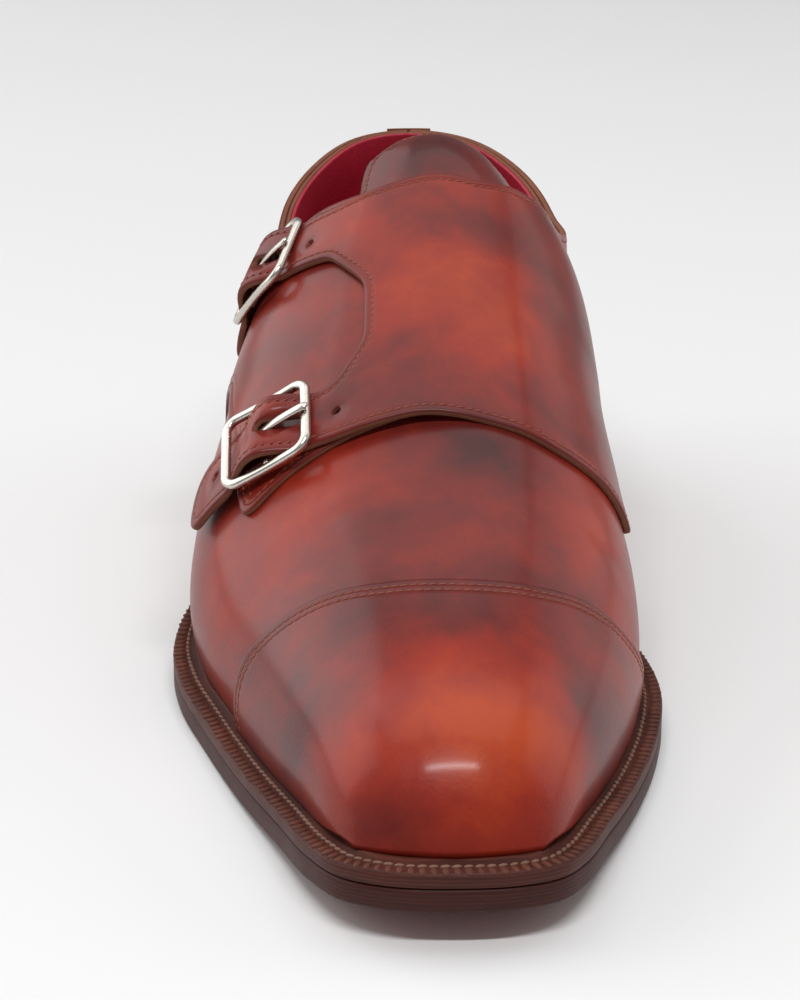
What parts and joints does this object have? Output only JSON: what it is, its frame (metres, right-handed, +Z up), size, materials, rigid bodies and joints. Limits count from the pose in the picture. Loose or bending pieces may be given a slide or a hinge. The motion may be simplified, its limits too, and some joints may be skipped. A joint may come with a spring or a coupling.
{
  "type": "monk strap shoe",
  "caption": "Leather dress shoe for the right foot with a toe cap, two buckled straps over the instep, a stitched welt and a low stacked heel.",
  "frame": {"origin": "centre of the bounding box in plan, on the floor plane under the forefoot and heel", "axes": "+Z up, -Y towards the toe, +Y towards the heel, -X the outer side with the buckles, +X the inner side"},
  "size_m": [0.11, 0.3056, 0.1113],
  "materials": {
    "outsole": "dark brown polished sole edge, reddish underside",
    "welt": "dark brown stitched welt",
    "insole": "crimson leather sock over the insole",
    "heel_stack": "dark brown polished stacked leather",
    "heel_top_piece": "dark rubber and leather top piece",
    "upper": "red brown museum patina, glossy, crimson lining inside",
    "toe_cap": "red brown patina polished to a mirror at the toe",
    "outer_quarter": "red brown patina, glossy",
    "strap_panel": "orange red patina with dark clouds, glossy",
    "tongue": "dark red brown leather",
    "buckle_tab": "red brown leather tab",
    "buckle_metal": "polished nickel, slightly warm"
  },
  "bodies": {
    "root": {"outsole": "outsole", "welt": "welt", "insole": "insole", "heel_stack": "heel_stack", "heel_top_piece": "heel_top_piece", "upper": "upper", "toe_cap": "toe_cap", "outer_quarter": "outer_quarter", "strap_panel": "strap_panel", "tongue": "tongue", "buckle_tab_upper": "buckle_tab", "buckle_tab_lower": "buckle_tab", "buckle_frame_upper": "buckle_metal", "buckle_frame_lower": "buckle_metal", "buckle_prong_upper": "buckle_metal", "buckle_prong_lower": "buckle_metal"}
  },
  "joints": []
}
